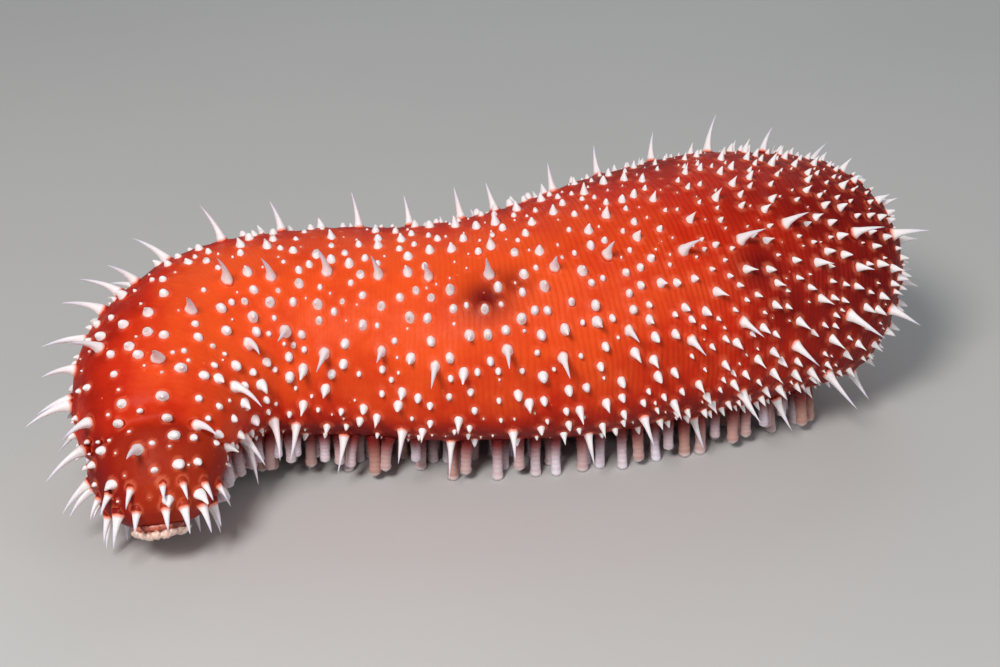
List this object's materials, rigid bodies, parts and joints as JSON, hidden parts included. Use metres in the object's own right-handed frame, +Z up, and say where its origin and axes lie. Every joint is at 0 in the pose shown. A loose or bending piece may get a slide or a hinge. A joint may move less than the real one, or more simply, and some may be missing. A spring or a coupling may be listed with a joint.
{
  "type": "sea cucumber",
  "caption": "Still life-size sea cucumber model in a bent resting pose, with fleshy papillae on its back and tube feet on its sole.",
  "frame": {"origin": "on the floor under the middle of the animal's bounding box", "axes": "+Z up; +X from the head at the left to the rear end at the right; -Y towards the camera and the turned-down mouth"},
  "size_m": [0.2638, 0.1651, 0.0853],
  "materials": {
    "skin": "wet, soft, finely wrinkled orange-red body wall",
    "mouth": "wet, soft tentacles round the mouth",
    "papillae": "wet, soft white papillae with bluish, translucent tips",
    "tube_feet": "wet, soft pale tube feet with flat discs at their ends"
  },
  "bodies": {
    "root": {"oral_end": "skin", "neck": "skin", "fore_body": "skin", "mid_body": "skin", "hind_body": "skin", "anal_end": "skin", "mouth": "mouth"}
  },
  "joints": []
}
